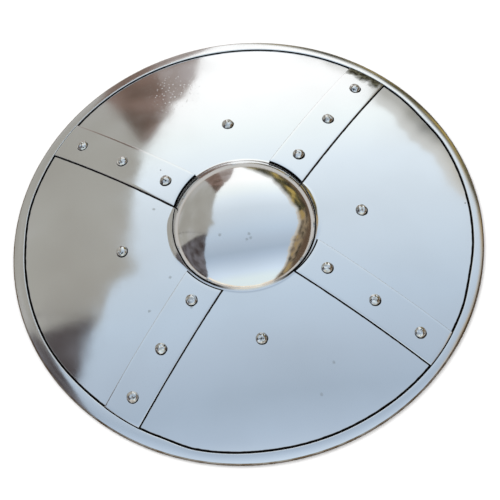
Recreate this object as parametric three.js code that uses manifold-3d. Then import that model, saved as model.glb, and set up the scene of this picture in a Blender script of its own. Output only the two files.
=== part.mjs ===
// A round steel buckler: a dished sheet with the boss raised in it, a band folded over its edge,
// four flat bars riveted from the boss to the rim, and two leather straps behind.
// Millimetres, +Z up. It lies on its rim with the boss on top, and the origin is the centre of the
// ring that the rim stands on.

import * as THREE from "three";
import { mergeVertices } from "three/addons/utils/BufferGeometryUtils.js";
import Module from "manifold-3d";

const wasm = await Module();
wasm.setup();

// ---------------------------------------------------------------- driving dimensions

const OVERALL_RADIUS = 200;
const DISH_RADIUS = 520; // sphere that the sheet's front follows
const SHEET = 1.2; // thickness of the dished sheet
const GAP = 0.3; // clearance between pieces that touch

const BOSS_FOOT_RADIUS = 63.2; // where the sheet starts to turn up into the boss
const BOSS_FILLET = 5;
const BOSS_SIDE_SLOPE = THREE.MathUtils.degToRad(60); // steepest part of the boss's wall
const OVERALL_HEIGHT = 62.5;

const RIM_LEAF = 1.2; // thickness of the folded band
const RIM_INNER_RADIUS = 191.2;
const RIM_BACK_RADIUS = 188; // the back leaf reaches a little further in
const RIM_FOLD = SHEET / 2 + GAP + RIM_LEAF; // outer radius of the fold
const RIM_FOLD_HEIGHT = 1.7; // centre of the fold above the ground, so that its underside is flat

const BAR_WIDTH = 34.4;
const BAR_THICKNESS = 1.8;
const BAR_INNER_RADIUS = 63;
const BAR_OUTER_RADIUS = RIM_INNER_RADIUS - 0.5;
// The bars are set by hand: each is a few degrees and millimetres off a true cross.
const BARS = [
  { name: "ne", azimuth: 49.5, offset: -3.3 },
  { name: "nw", azimuth: 139, offset: -0.8 },
  { name: "sw", azimuth: 229, offset: 0.5 },
  { name: "se", azimuth: 318, offset: 3.9 },
];
const BAR_RIVETS = [
  { name: "inner", radius: 79.8 },
  { name: "middle", radius: 125.8 },
  { name: "outer", radius: 169.4 },
];

const STRAP_RIVETS = [
  { name: "e", azimuth: 0, radius: 98.5 },
  { name: "n", azimuth: 90.5, radius: 101.6 },
  { name: "w", azimuth: 182, radius: 104 },
  { name: "s", azimuth: 270, radius: 101.6 },
];

const HEAD_RADIUS = 5.1;
const HEAD_HEIGHT = 2.5;
const SHANK_RADIUS = 2.4;
const TAIL_RADIUS = 3.8;
const TAIL_HEIGHT = 1.3;

const STRAP_WIDTH = 28;
const STRAP_THICKNESS = 3;
const STRAP_LOOP = 26; // room between the strap's middle and the sheet
const STRAP_SEAT_GAP = 0.4;
const STRAP_TAB_INSIDE = 9; // flat length on each side of a strap's rivet
const STRAP_TAB_OUTSIDE = 14;

// Facets round the shield and round a rivet, and along the stretches of the profiles.
const ROUND_STEPS = 60;
const RIVET_STEPS = 10;
const DISH_STEPS = 5;
const FILLET_STEPS = 3;
const BOSS_STEPS = 7;
const FOLD_STEPS = 3;

// ---------------------------------------------------------------- the dish frame
// Sheet, bars, rim and rivets all follow spheres round one centre. Each piece is made in a frame
// with that centre as its origin, and the group that holds them sets the centre's height.

const foldRadius = OVERALL_RADIUS - RIM_FOLD; // plan radius of the fold's centre
const foldHeight = Math.sqrt((DISH_RADIUS - SHEET / 2) ** 2 - foldRadius ** 2);
const CENTRE_HEIGHT = RIM_FOLD_HEIGHT - foldHeight;

const STEEL = { color: 0xc9ced4, metalness: 1 };

function steel(roughness) {
  return new THREE.MeshStandardMaterial({ ...STEEL, roughness });
}

function leather() {
  return new THREE.MeshStandardMaterial({ color: 0x4a2c18, roughness: 0.75, metalness: 0 });
}

// Height above the centre of the sphere of the given radius, at a plan radius.
function sphereHeight(sphereRadius, planRadius) {
  return Math.sqrt(sphereRadius ** 2 - planRadius ** 2);
}

// Direction from the centre through the sheet's front at a plan radius and an azimuth in degrees.
function directionAt(planRadius, azimuth) {
  const tilt = Math.asin(planRadius / DISH_RADIUS);
  const turn = THREE.MathUtils.degToRad(azimuth);
  return new THREE.Vector3(
    Math.sin(tilt) * Math.cos(turn),
    Math.sin(tilt) * Math.sin(turn),
    Math.cos(tilt),
  );
}

function steps(from, to, count) {
  return Array.from({ length: count + 1 }, (_, i) => from + ((to - from) * i) / count);
}

// ---------------------------------------------------------------- solids

// A profile of [plan radius, height] points, turned round the vertical axis.
function turned(profile, segments) {
  const points = profile.map(([radius, height]) => new THREE.Vector2(radius, height));
  return new THREE.LatheGeometry(points, segments).rotateX(Math.PI / 2);
}

function closedProfile(profile) {
  return [...profile, profile[0]];
}

// A box of unit size, cut into a grid, whose points are moved to place(along, across, through).
// All three run from -0.5 to 0.5.
function bentPlate(columns, rows, place) {
  const geometry = new THREE.BoxGeometry(1, 1, 1, columns, rows, 1);
  const position = geometry.getAttribute("position");
  for (let i = 0; i < position.count; i += 1) {
    const moved = place(position.getX(i), position.getY(i), position.getZ(i));
    position.setXYZ(i, ...moved);
  }
  return geometry;
}

function toManifold(geometry) {
  const bare = geometry.clone();
  bare.deleteAttribute("normal");
  bare.deleteAttribute("uv");
  const merged = mergeVertices(bare);
  const corners = [];
  for (let i = 0; i < merged.index.count; i += 3) {
    const [a, b, c] = merged.index.array.subarray(i, i + 3);
    if (a !== b && b !== c && c !== a) {
      corners.push(a, b, c);
    }
  }
  return new wasm.Manifold(new wasm.Mesh({
    numProp: 3,
    vertProperties: new Float32Array(merged.getAttribute("position").array),
    triVerts: new Uint32Array(corners),
  }));
}

function fromManifold(solid) {
  const mesh = solid.getMesh();
  const geometry = new THREE.BufferGeometry();
  geometry.setAttribute("position", new THREE.BufferAttribute(mesh.vertProperties, 3));
  geometry.setIndex(new THREE.BufferAttribute(mesh.triVerts, 1));
  geometry.computeVertexNormals();
  return geometry;
}

// Drills a rivet hole through a piece along each direction from the centre.
function drilled(geometry, directions) {
  const holeRadius = SHANK_RADIUS + GAP;
  const depth = 20;
  let solid = toManifold(geometry);
  for (const direction of directions) {
    const turn = new THREE.Quaternion().setFromUnitVectors(new THREE.Vector3(0, 1, 0), direction);
    const hole = new THREE.CylinderGeometry(holeRadius, holeRadius, depth, RIVET_STEPS);
    hole.applyQuaternion(turn);
    hole.translate(...direction.clone().multiplyScalar(DISH_RADIUS));
    solid = solid.subtract(toManifold(hole));
  }
  return fromManifold(solid);
}

// ---------------------------------------------------------------- dish with boss

// The boss is the top of an ellipse that leaves the fillet at the side slope and reaches the
// overall height on the axis.
function bossEllipse(footRadius, footHeight) {
  const rise = OVERALL_HEIGHT - CENTRE_HEIGHT - footHeight;
  const cut = rise / (Math.tan(BOSS_SIDE_SLOPE) * footRadius - rise);
  const height = rise / (1 - cut);
  return {
    width: footRadius / Math.sqrt(1 - cut ** 2),
    height,
    base: footHeight + rise - height,
    start: Math.acos(cut),
  };
}

// The sheet's front from its edge to the axis: plan radius, height and tilt of the surface.
function dishFront() {
  const edge = foldRadius - RIM_FOLD / 2;
  const line = steps(edge, BOSS_FOOT_RADIUS, DISH_STEPS).map((radius) => ({
    radius,
    height: sphereHeight(DISH_RADIUS, radius),
    tilt: Math.asin(radius / DISH_RADIUS),
  }));
  const foot = line.at(-1);
  for (const tilt of steps(foot.tilt, BOSS_SIDE_SLOPE, FILLET_STEPS).slice(1)) {
    line.push({
      radius: foot.radius + BOSS_FILLET * (Math.sin(foot.tilt) - Math.sin(tilt)),
      height: foot.height + BOSS_FILLET * (Math.cos(foot.tilt) - Math.cos(tilt)),
      tilt,
    });
  }
  const wall = line.at(-1);
  const ellipse = bossEllipse(wall.radius, wall.height);
  for (const turn of steps(ellipse.start, 0, BOSS_STEPS).slice(1)) {
    line.push({
      radius: ellipse.width * Math.sin(turn),
      height: ellipse.base + ellipse.height * Math.cos(turn),
      tilt: Math.atan((ellipse.height / ellipse.width) * Math.tan(turn)),
    });
  }
  return line;
}

function dish() {
  const front = dishFront();
  const back = front.map(({ radius, height, tilt }) => [
    radius - SHEET * Math.sin(tilt),
    height - SHEET * Math.cos(tilt),
  ]);
  const profile = [...back.reverse(), ...front.map(({ radius, height }) => [radius, height])];
  const holes = [...barRivetPlaces(), ...strapRivetPlaces()].map((rivet) => rivet.direction);
  return named("dish", drilled(turned(profile, ROUND_STEPS), holes), steel(0.12));
}

// ---------------------------------------------------------------- rim

// Points of the fold, from one angle to another; the angle is measured from straight up.
function foldArc(radius, from, to, count) {
  return steps(from, to, count).map((angle) => [
    foldRadius + radius * Math.sin(angle),
    foldHeight + radius * Math.cos(angle),
  ]);
}

function leafPoint(sphereRadius, planRadius) {
  return [planRadius, sphereHeight(sphereRadius, planRadius)];
}

function rim() {
  const tilt = Math.asin(foldRadius / (DISH_RADIUS - SHEET / 2));
  const frontFace = DISH_RADIUS + GAP + RIM_LEAF;
  const frontInside = DISH_RADIUS + GAP;
  const backInside = DISH_RADIUS - SHEET - GAP;
  const backFace = backInside - RIM_LEAF;
  const ground = -CENTRE_HEIGHT;
  const flatOuter = Math.acos(-RIM_FOLD_HEIGHT / RIM_FOLD);
  const flatInner = [Math.sqrt(backFace ** 2 - ground ** 2), ground];
  const profile = [
    leafPoint(frontFace, RIM_INNER_RADIUS),
    leafPoint(frontInside, RIM_INNER_RADIUS),
    ...foldArc(SHEET / 2 + GAP, tilt, tilt + Math.PI, 2),
    leafPoint(backInside, RIM_BACK_RADIUS),
    leafPoint(backFace, RIM_BACK_RADIUS),
    flatInner,
    ...foldArc(RIM_FOLD, flatOuter, tilt, FOLD_STEPS),
  ];
  return named("rim", turned(closedProfile(profile), ROUND_STEPS), steel(0.16));
}

// ---------------------------------------------------------------- bars

// A flat bar that lies on the dish, drawn along +X. Its ends are arcs round the shield's axis.
function bar({ name, azimuth, offset }) {
  const middleRadius = (BAR_INNER_RADIUS + BAR_OUTER_RADIUS) / 2;
  const reach = BAR_OUTER_RADIUS - BAR_INNER_RADIUS;
  const middleSphere = DISH_RADIUS + GAP + BAR_THICKNESS / 2;
  const geometry = bentPlate(8, 4, (along, across, through) => {
    const planRadius = middleRadius + reach * along;
    const side = offset + BAR_WIDTH * across;
    const forward = Math.sqrt(planRadius ** 2 - side ** 2);
    const sphereRadius = middleSphere + BAR_THICKNESS * through;
    return [forward, side, sphereHeight(sphereRadius, planRadius)];
  });
  const holes = BAR_RIVETS.map(({ radius }) => {
    const swing = THREE.MathUtils.radToDeg(Math.asin(offset / radius));
    return directionAt(radius, swing);
  });
  const mesh = named(`bar_${name}`, drilled(geometry, holes), steel(0.14));
  mesh.rotation.z = THREE.MathUtils.degToRad(azimuth);
  return mesh;
}

// ---------------------------------------------------------------- rivets

function barRivetPlaces() {
  return BARS.flatMap((place) => BAR_RIVETS.map((rivet) => {
    const swing = THREE.MathUtils.radToDeg(Math.asin(place.offset / rivet.radius));
    return {
      name: `rivet_${place.name}_${rivet.name}`,
      direction: directionAt(rivet.radius, place.azimuth + swing),
    };
  }));
}

function strapRivetPlaces() {
  return STRAP_RIVETS.map(({ name, azimuth, radius }) => ({
    name: `strap_rivet_${name}`,
    direction: directionAt(radius, azimuth),
  }));
}

// A rivet with a domed head in front, a shank through the plates and a peened tail behind.
// Its seat is the face under the head, and the stack is what the shank goes through.
function rivet({ name, direction }, seat, stack) {
  const under = -stack - GAP;
  const dome = steps(Math.PI / 2, 0, 3).map((angle) => [
    HEAD_RADIUS * Math.sin(angle),
    GAP + HEAD_HEIGHT * Math.cos(angle),
  ]);
  const profile = [
    [0, under - TAIL_HEIGHT],
    [TAIL_RADIUS * 0.8, under - TAIL_HEIGHT * 0.8],
    [TAIL_RADIUS, under],
    [SHANK_RADIUS, under],
    [SHANK_RADIUS, GAP],
    ...dome,
  ];
  const mesh = named(name, turned(profile, RIVET_STEPS), steel(0.22));
  mesh.quaternion.setFromUnitVectors(new THREE.Vector3(0, 0, 1), direction);
  mesh.position.copy(direction).multiplyScalar(seat);
  return mesh;
}

// ---------------------------------------------------------------- straps

// How far the strap hangs off the sheet, at an arc length from its middle.
function strapDrop(arc, loopEnd) {
  if (Math.abs(arc) >= loopEnd) {
    return 0;
  }
  return (STRAP_LOOP * (1 + Math.cos((Math.PI * arc) / loopEnd))) / 2;
}

// A leather strap between two rivets, in a frame with X along it and Z through its middle.
function strap(name, from, to) {
  const seat = DISH_RADIUS - SHEET - STRAP_SEAT_GAP;
  const halfAngle = from.angleTo(to) / 2;
  const rivetArc = seat * halfAngle;
  const loopEnd = rivetArc - STRAP_TAB_INSIDE;
  const end = rivetArc + STRAP_TAB_OUTSIDE;

  const pathPoint = (arc) => {
    const reach = seat - strapDrop(arc, loopEnd);
    return new THREE.Vector2(Math.sin(arc / seat), Math.cos(arc / seat)).multiplyScalar(reach);
  };
  const geometry = bentPlate(16, 3, (along, across, through) => {
    const corner = Math.abs(across) > 0.3 && Math.abs(along) > 0.49;
    const arc = 2 * end * along - (corner ? Math.sign(along) * STRAP_WIDTH * 0.25 : 0);
    const tangent = pathPoint(arc + 0.01).sub(pathPoint(arc - 0.01)).normalize();
    const inward = STRAP_THICKNESS * (0.5 - through);
    const point = pathPoint(arc);
    return [point.x + inward * tangent.y, STRAP_WIDTH * across, point.y - inward * tangent.x];
  });
  const holes = [-halfAngle, halfAngle].map((angle) => (
    new THREE.Vector3(Math.sin(angle), 0, Math.cos(angle))
  ));
  const mesh = named(name, drilled(geometry, holes), leather());
  const forward = to.clone().sub(from).normalize();
  const outward = to.clone().add(from).normalize();
  const sideways = outward.clone().cross(forward);
  mesh.quaternion.setFromRotationMatrix(
    new THREE.Matrix4().makeBasis(forward, sideways, outward),
  );
  return mesh;
}

// ---------------------------------------------------------------- assembly

function named(name, geometry, material) {
  const mesh = new THREE.Mesh(geometry, material);
  mesh.name = name;
  return mesh;
}

function shield() {
  const pieces = new THREE.Group();
  pieces.position.z = CENTRE_HEIGHT;
  pieces.add(dish(), rim(), ...BARS.map(bar));

  const barSeat = DISH_RADIUS + GAP + BAR_THICKNESS;
  const barStack = BAR_THICKNESS + GAP + SHEET;
  for (const place of barRivetPlaces()) {
    pieces.add(rivet(place, barSeat, barStack));
  }

  const strapStack = SHEET + STRAP_SEAT_GAP + STRAP_THICKNESS;
  const places = strapRivetPlaces();
  for (const place of places) {
    pieces.add(rivet(place, DISH_RADIUS, strapStack));
  }
  const [east, north, west, south] = places.map((place) => place.direction);
  pieces.add(strap("strap_ne", north, east), strap("strap_sw", west, south));

  const group = new THREE.Group();
  group.add(pieces);
  return group;
}

export default shield();
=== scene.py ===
"""The looks of a round steel buckler that lies on its rim: its fine shapes, finishes, light and camera.

Metres, +Z up, in the frame of the CAD model. The sheet, bars, rim, rivets and straps all follow
spheres round one centre, as they do in the CAD, and the rivets' places are read from its nodes.
"""

import math

import bmesh
import bpy
from mathutils import Matrix, Vector, noise


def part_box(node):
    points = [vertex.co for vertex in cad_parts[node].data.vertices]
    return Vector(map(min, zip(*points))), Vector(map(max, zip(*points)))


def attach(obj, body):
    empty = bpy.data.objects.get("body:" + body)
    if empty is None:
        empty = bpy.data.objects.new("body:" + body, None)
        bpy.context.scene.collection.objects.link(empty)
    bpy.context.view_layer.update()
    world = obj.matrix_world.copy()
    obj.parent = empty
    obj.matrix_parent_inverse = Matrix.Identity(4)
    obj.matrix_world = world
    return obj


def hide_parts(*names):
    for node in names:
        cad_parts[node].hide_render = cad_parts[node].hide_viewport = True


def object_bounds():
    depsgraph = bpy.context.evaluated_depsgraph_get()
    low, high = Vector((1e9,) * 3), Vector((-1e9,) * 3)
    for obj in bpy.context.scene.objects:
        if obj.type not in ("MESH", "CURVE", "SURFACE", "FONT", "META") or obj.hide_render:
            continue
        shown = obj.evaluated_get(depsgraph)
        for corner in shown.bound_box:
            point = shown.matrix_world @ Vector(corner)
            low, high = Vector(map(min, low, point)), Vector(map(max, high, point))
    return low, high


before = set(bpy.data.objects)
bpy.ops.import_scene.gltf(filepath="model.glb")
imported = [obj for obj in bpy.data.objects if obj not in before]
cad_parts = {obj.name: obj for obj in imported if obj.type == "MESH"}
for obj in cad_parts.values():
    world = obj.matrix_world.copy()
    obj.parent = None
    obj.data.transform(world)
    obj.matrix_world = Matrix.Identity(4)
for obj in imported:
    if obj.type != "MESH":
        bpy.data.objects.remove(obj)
CAD_BOX = [list(corner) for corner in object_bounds()]

# ------------------------------------------------------------------ sizes

OVERALL_RADIUS = CAD_BOX[1][0]
OVERALL_HEIGHT = CAD_BOX[1][2]
DISH_RADIUS = 0.520  # sphere that the sheet's front follows
SHEET = 0.0012
GAP = 0.0003

BOSS_RADIUS = 0.0619
BOSS_RISE = 0.0310  # from the widest place of the boss's ellipsoid to its top
BOSS_CREASE = 0.0010  # height over which the boss blends into the fillet at its foot
CREASE_RADIUS = 0.0602
FOOT_RADIUS = 0.0632
FOOT_ROUND = 0.005
FOOT_WIDTH = 0.0064
# East and west, where no bar holds the sheet down, the foot starts further out and is rounder.
BROAD_FOOT = 0.0022
BROAD_ROUND = 0.0037
BROAD_CREASE = -0.0007

NOMINAL_RADIUS = 0.200  # the box of the CAD's facets falls a little short of it
RIM_LEAF = 0.0012
RIM_INNER_RADIUS = 0.1912
RIM_BACK_RADIUS = 0.188
RIM_FOLD = SHEET / 2 + GAP + RIM_LEAF
RIM_FOLD_HEIGHT = 0.0017
RIM_EDGE_ROUND = 0.0008
RIM_INNER_TILT = math.radians(14)  # the band is crowned: steeper at the fold than at its edge
RIM_OUTER_TILT = math.radians(29)
# The band's inner edge is uneven, as if cut by hand. Measured on the photograph and rounded, where it
# turns: (azimuth, millimetres outside the nominal radius).
RIM_STRAY = (
    (0, 0.4), (20, 0.9), (29, -0.4), (40, 0.6), (62, 0.0), (90, -0.6), (112, 0.2), (150, -0.5),
    (160, 0.0), (173, -1.3), (198, -1.1), (219, -2.6), (240, -1.5), (250, 0.7), (270, -0.2),
    (290, 0.0), (319, 1.3), (330, 0.8), (341, -0.6), (351, 0.2), (360, 0.4),
)  # fmt: skip

BAR_WIDTH = 0.0344
BAR_THICKNESS = 0.0018
BAR_EDGE_ROUND = 0.0004
BARS = ("ne", "nw", "sw", "se")
STATIONS = ("inner", "middle", "outer")
BAR_GRID = (0.003, 0.002)  # spacing of the mesh along and across
BAR_WAVE_HEIGHT = 0.00012
BAR_WAVE_LENGTH = 0.05
# Inner end of each bar: its radius, and how much further out its counterclockwise corner is.
BAR_ENDS = {
    "ne": (0.0624, 0.0005),
    "nw": (0.0629, -0.0008),
    "sw": (0.0636, 0.0000),
    "se": (0.0629, 0.0008),
}
# Width of the painted shade beside each bar, on its clockwise and on its counterclockwise side: black
# where the bar's edge faces south, and a thin dark seam on the SW bar's north side.
BAR_SHADE_SEAMS = {
    "ne": (0.0009, 0.0),
    "nw": (0.0, 0.0009),
    "sw": (0.0003, 0.0009),
    "se": (0.0009, 0.0),
}
END_SHADE_SEAM = 0.0016  # width of the painted shade at a bar's inner end
RIM_SHADE_SEAM = 0.0017
RIM_SHADE_SEAM_SOUTH = 0.0004  # how much wider the painted shade by the rim is in the south than in the middle
BAR_TO_RIM = 0.0005

HEAD_RADIUS = 0.0048
HEAD_HEIGHT = 0.0030
SHANK_RADIUS = 0.0024
TAIL_RADIUS = 0.0038
TAIL_HEIGHT = 0.0013
HEAD_LIFT = 0.00003  # the heads are drawn down on the plate, closer than in the CAD
HEAD_FULLNESS = 0.9  # power of the cosine that the dome follows
TAIL_FULLNESS = 0.6
DENT_DEPTH = 0.0008
DENT_SIZE = 0.0024
DENT_SHARE = 0.15
HEAD_STRAY = 0.08
HEAD_STRAY_LENGTH = 0.006

STRAP_WIDTH = 0.028
STRAP_THICKNESS = 0.003
STRAP_LOOP = 0.026
STRAP_SEAT_GAP = 0.0004
STRAP_TAB_INSIDE = 0.009
STRAP_TAB_OUTSIDE = 0.014
STRAP_CORNER = 0.009
STRAP_EDGE_ROUND = 0.0009
STRAP_GRID = (0.0025, 0.002)

FOLD_RADIUS = NOMINAL_RADIUS - RIM_FOLD
FOLD_HEIGHT = math.sqrt((DISH_RADIUS - SHEET / 2) ** 2 - FOLD_RADIUS**2)
CENTRE = Vector((0, 0, RIM_FOLD_HEIGHT - FOLD_HEIGHT))  # of all the spheres

# ------------------------------------------------------------------ camera

VIEW_ELEVATION = math.radians(63.2)
VIEW_ROLL = math.radians(8.8)
VIEW_DISTANCE = 1.8
SENSOR = 36.0
LENS = 152.8
# The picture's middle lies a little right of and below the shield's centre.
AIM_RIGHT = 0.0025
AIM_UP = -0.0057
AIM_HEIGHT = 0.0033
CLIP_END = 50


def camera():
    data = bpy.data.cameras.new("camera")
    data.sensor_width = SENSOR
    data.lens = LENS
    data.clip_end = CLIP_END
    obj = bpy.data.objects.new("camera", data)
    back = Vector((0, -math.cos(VIEW_ELEVATION), math.sin(VIEW_ELEVATION)))
    level = Vector((1, 0, 0))
    upward = back.cross(level)
    right = level * math.cos(VIEW_ROLL) - upward * math.sin(VIEW_ROLL)
    up = level * math.sin(VIEW_ROLL) + upward * math.cos(VIEW_ROLL)
    target = Vector((0, 0, AIM_HEIGHT)) + right * AIM_RIGHT + up * AIM_UP
    turn = Matrix((right, up, back)).transposed().to_4x4()
    obj.matrix_world = Matrix.Translation(target + back * VIEW_DISTANCE) @ turn
    bpy.context.scene.collection.objects.link(obj)
    bpy.context.scene.camera = obj


# ------------------------------------------------------------------ curves and places


def steps(start, end, count):
    return [start + (end - start) * i / count for i in range(count + 1)]


def sphere_height(sphere_radius, plan_radius):
    return CENTRE.z + math.sqrt(sphere_radius**2 - plan_radius**2)


def smooth_step(value, low, high):
    share = min(1, max(0, (value - low) / (high - low)))
    return share * share * (3 - 2 * share)


def wander(place, length, seed):
    """A smooth random number, from about -0.5 to 0.5, that changes over the given length."""
    return noise.noise(Vector(place) / length + Vector((seed * 7.3, seed * 3.1, seed * 5.7)))


def rim_edge(x, y):
    """Radius of the band's hand-cut inner edge on the line through a place."""
    azimuth = math.degrees(math.atan2(y, x)) % 360
    for (start, low), (end, high) in zip(RIM_STRAY, RIM_STRAY[1:]):
        if start <= azimuth <= end:
            share = smooth_step(azimuth, start, end)
            return RIM_INNER_RADIUS + 0.001 * (low + share * (high - low))
    return RIM_INNER_RADIUS


def node_middle(name):
    low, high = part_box(name)
    return (Vector(low) + Vector(high)) / 2


def rivet_direction(name):
    return (node_middle(name) - CENTRE).normalized()


BAR_RIVETS = {f"rivet_{bar}_{station}": bar for bar in BARS for station in STATIONS}
STRAP_RIVETS = [f"strap_rivet_{side}" for side in "nesw"]
RIVET_DIRECTIONS = {name: rivet_direction(name) for name in [*BAR_RIVETS, *STRAP_RIVETS]}


def bar_line(name):
    """The way a bar points, its counterclockwise side, and how far to that side its middle lies."""
    first, last = (node_middle(f"rivet_{name}_{station}").xy for station in ("inner", "outer"))
    forward = (last - first).normalized()
    sideways = Vector((-forward.y, forward.x))
    return forward, sideways, first.dot(sideways)


# ------------------------------------------------------------------ mesh helpers


def piece(name, points, faces, materials, face_materials=None, sharp=math.radians(50)):
    """A smooth-shaded mesh object with outward faces; edges over the sharp angle stay crisp."""
    mesh = bpy.data.meshes.new(name)
    mesh.from_pydata([tuple(point) for point in points], [], faces)
    if face_materials:
        mesh.polygons.foreach_set("material_index", face_materials)
    for material in materials:
        mesh.materials.append(material)
    shell = bmesh.new()
    shell.from_mesh(mesh)
    bmesh.ops.recalc_face_normals(shell, faces=shell.faces)
    shell.to_mesh(mesh)
    shell.free()
    mesh.shade_smooth()
    mesh.set_sharp_from_angle(angle=sharp)
    obj = bpy.data.objects.new(name, mesh)
    bpy.context.scene.collection.objects.link(obj)
    return obj


def with_places(obj, places):
    """Gives each point the place that the materials measure from, as the attribute "place"."""
    layer = obj.data.attributes.new("place", "FLOAT_VECTOR", "POINT")
    layer.data.foreach_set("vector", [value for place in places for value in place])


def turned(profile_at, segments, closed):
    """The points and faces of profile_at(turn), a list of (radius, height), carried round Z."""
    turns = steps(0, math.tau, segments)[:-1]
    points = []
    rings = []
    for ring in zip(*(profile_at(turn) for turn in turns)):
        first = len(points)
        if ring[0][0] < 1e-7:
            points.append(Vector((0, 0, ring[0][1])))
            rings.append([first] * segments)
        else:
            for turn, (radius, height) in zip(turns, ring):
                points.append(Vector((radius * math.cos(turn), radius * math.sin(turn), height)))
            rings.append(list(range(first, first + segments)))
    if closed:
        rings.append(rings[0])
    faces = []
    for lower, upper in zip(rings, rings[1:]):
        for i in range(segments):
            j = (i + 1) % segments
            faces.append(list(dict.fromkeys((lower[i], lower[j], upper[j], upper[i]))))
    return points, faces


def stations(length, edge, spacing):
    """Places along a slab from end to end, closer together over the rounded edge."""
    half = length / 2
    inner = half - edge
    middle = steps(-inner, inner, max(2, round(2 * inner / spacing)))
    rounding = [half - edge * (1 - math.cos(angle)) for angle in steps(0, math.pi / 2, 4)[:-1]]
    return [-place for place in rounding] + middle + rounding[::-1]


def slab(alongs, acrosses, thickness, edge, place):
    """The points and faces of a closed plate whose edges are rounded on both sides.

    place(along, across, through) puts a point of the flat plate where it belongs. Each face is
    numbered 0 in front, 1 behind and 2 round the edge.
    """
    points = []
    grid = {}
    for side in (1, -1):
        for i, along in enumerate(alongs):
            for j, across in enumerate(acrosses):
                depth = min(alongs[-1] - abs(along), acrosses[-1] - abs(across), edge)
                drop = edge - math.sqrt(edge**2 - (edge - depth) ** 2)
                grid[side, i, j] = len(points)
                points.append(place(along, across, side * (thickness / 2 - drop)))
    faces = []
    kinds = []
    last_i = len(alongs) - 1
    last_j = len(acrosses) - 1
    for side, kind in ((1, 0), (-1, 1)):
        for i in range(last_i):
            for j in range(last_j):
                corner = [(side, i, j), (side, i + 1, j), (side, i + 1, j + 1), (side, i, j + 1)]
                faces.append([grid[key] for key in corner])
                kinds.append(kind)
    loop = [(i, 0) for i in range(last_i)]
    loop += [(last_i, j) for j in range(last_j)]
    loop += [(i, last_j) for i in range(last_i, 0, -1)]
    loop += [(0, j) for j in range(last_j, 0, -1)]
    for start, end in zip(loop, loop[1:] + loop[:1]):
        corner = [(1, *start), (1, *end), (-1, *end), (-1, *start)]
        faces.append([grid[key] for key in corner])
        kinds.append(2)
    return points, faces, kinds


def rounded_corner(before, corner, after, radius, count=4):
    """Points that round the corner of a profile of (radius, height) points."""
    corner = Vector(corner)
    into = (Vector(before) - corner).normalized() * radius
    out = (Vector(after) - corner).normalized() * radius
    middle = corner + into + out
    turn = [(math.sin(angle), math.cos(angle)) for angle in steps(0, math.pi / 2, count)]
    return [tuple(middle - out * cosine - into * sine) for sine, cosine in turn]


# ------------------------------------------------------------------ materials


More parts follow.
